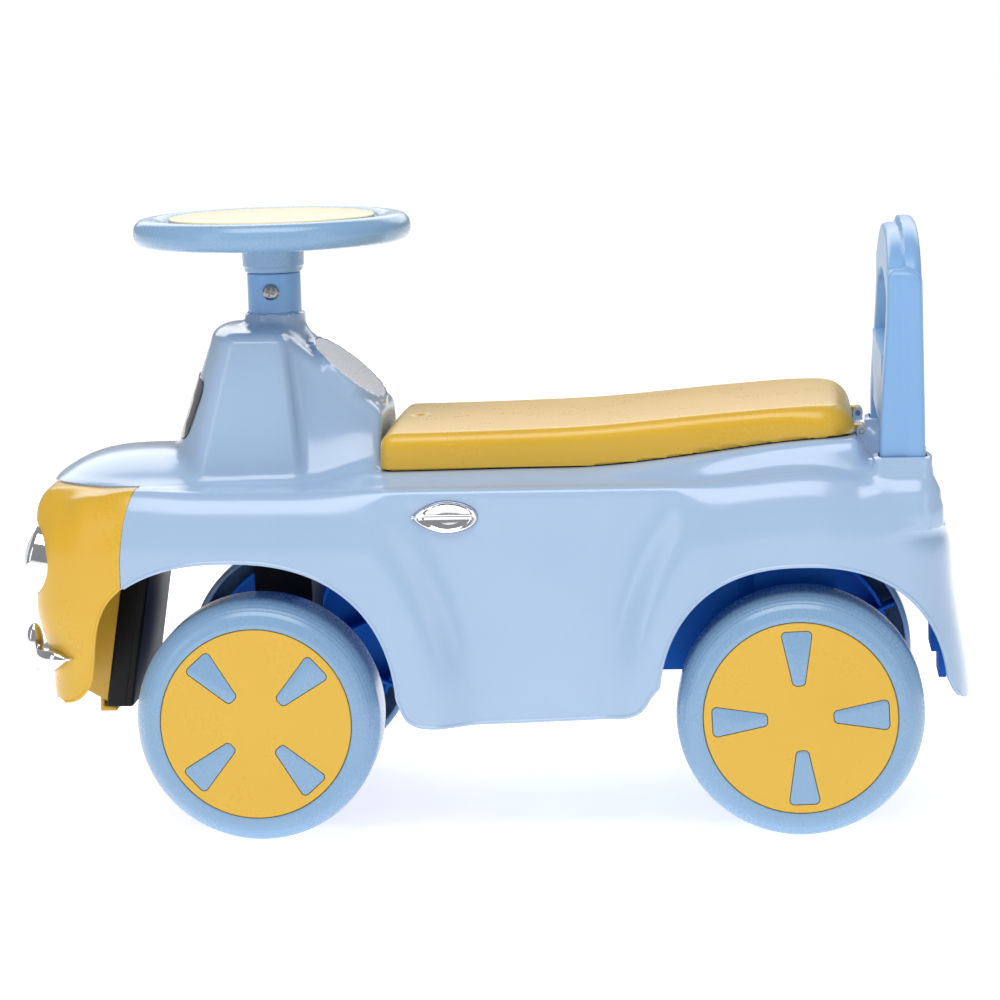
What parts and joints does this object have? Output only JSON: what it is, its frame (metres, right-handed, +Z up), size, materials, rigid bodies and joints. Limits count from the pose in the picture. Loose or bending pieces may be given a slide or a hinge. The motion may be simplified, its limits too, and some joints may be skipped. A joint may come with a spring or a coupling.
{
  "type": "ride-on toy car",
  "caption": "Child's foot-to-floor ride-on car with steered front wheels, hinged seat lid over a storage tub, push-along backrest and chrome trim.",
  "frame": {"origin": "on the floor under the middle of the car", "axes": "-X towards the front of the car, -Y towards its left side as seen in the picture, +Z up"},
  "size_m": [0.6469, 0.2892, 0.4131],
  "materials": {
    "light_blue": "gloss, blow-moulded",
    "mid_blue": "satin gloss",
    "deep_blue": "satin",
    "yellow": "satin gloss",
    "chrome": "vacuum-plated plastic",
    "steel": "zinc-plated",
    "black": "satin",
    "lens": "polished",
    "white": "satin",
    "panel": "metallic grey film"
  },
  "bodies": {
    "car": {"axle_nut_rear_left": "steel", "axle_nut_rear_right": "steel", "backrest": "mid_blue", "battery_box": "black", "body_shell": "light_blue", "bridge_screw_front_left": "steel", "bridge_screw_front_right": "steel", "bridge_screw_rear_left": "steel", "bridge_screw_rear_right": "steel", "bumper": "chrome", "dash_panel": "panel", "door_handle_left": "chrome", "door_handle_right": "chrome", "front_fascia": "yellow", "headlight_bezel_left": "chrome", "headlight_bezel_right": "chrome", "headlight_lens_left": "lens", "headlight_lens_right": "lens", "rear_axle": "steel", "seat_hinge_pin_left": "steel", "seat_hinge_pin_right": "steel", "steering_bridge": "deep_blue", "steering_bush": "white", "storage_tub": "deep_blue", "tail_stop": "deep_blue", "windscreen": "black"},
    "steering": {"steering_wheel": "light_blue", "steering_pad": "yellow", "steering_column": "mid_blue", "column_screw": "steel", "column_nut": "steel", "steering_shaft": "steel", "front_fork": "black", "front_axle": "steel", "axle_nut_front_left": "steel", "axle_nut_front_right": "steel"},
    "seat": {"seat_lid": "yellow"},
    "front_left_wheel": {"tyre_front_left": "light_blue", "wheel_core_front_left": "deep_blue", "hubcap_front_left": "yellow"},
    "front_right_wheel": {"tyre_front_right": "light_blue", "wheel_core_front_right": "deep_blue", "hubcap_front_right": "yellow"},
    "rear_left_wheel": {"tyre_rear_left": "light_blue", "wheel_core_rear_left": "deep_blue", "hubcap_rear_left": "yellow"},
    "rear_right_wheel": {"tyre_rear_right": "light_blue", "wheel_core_rear_right": "deep_blue", "hubcap_rear_right": "yellow"}
  },
  "joints": [
    {"name": "steering_turn", "type": "hinge", "parent": "car", "child": "steering", "pos_m": [-0.1535, 0, 0.2], "axis": [0, 0, 1], "range_deg": [-18, 18]},
    {"name": "seat_hinge", "type": "hinge", "parent": "car", "child": "seat", "pos_m": [0.25, 0, 0.261], "axis": [0, 1, 0], "range_deg": [0, 45]},
    {"name": "front_left_spin", "type": "hinge", "parent": "steering", "child": "front_left_wheel", "pos_m": [-0.1566, -0.12, 0.0825], "axis": [0, 1, 0], "continuous": true},
    {"name": "front_right_spin", "type": "hinge", "parent": "steering", "child": "front_right_wheel", "pos_m": [-0.1566, 0.12, 0.0825], "axis": [0, 1, 0], "continuous": true},
    {"name": "rear_left_spin", "type": "hinge", "parent": "car", "child": "rear_left_wheel", "pos_m": [0.2056, -0.12, 0.0825], "axis": [0, 1, 0], "continuous": true},
    {"name": "rear_right_spin", "type": "hinge", "parent": "car", "child": "rear_right_wheel", "pos_m": [0.2056, 0.12, 0.0825], "axis": [0, 1, 0], "continuous": true}
  ]
}
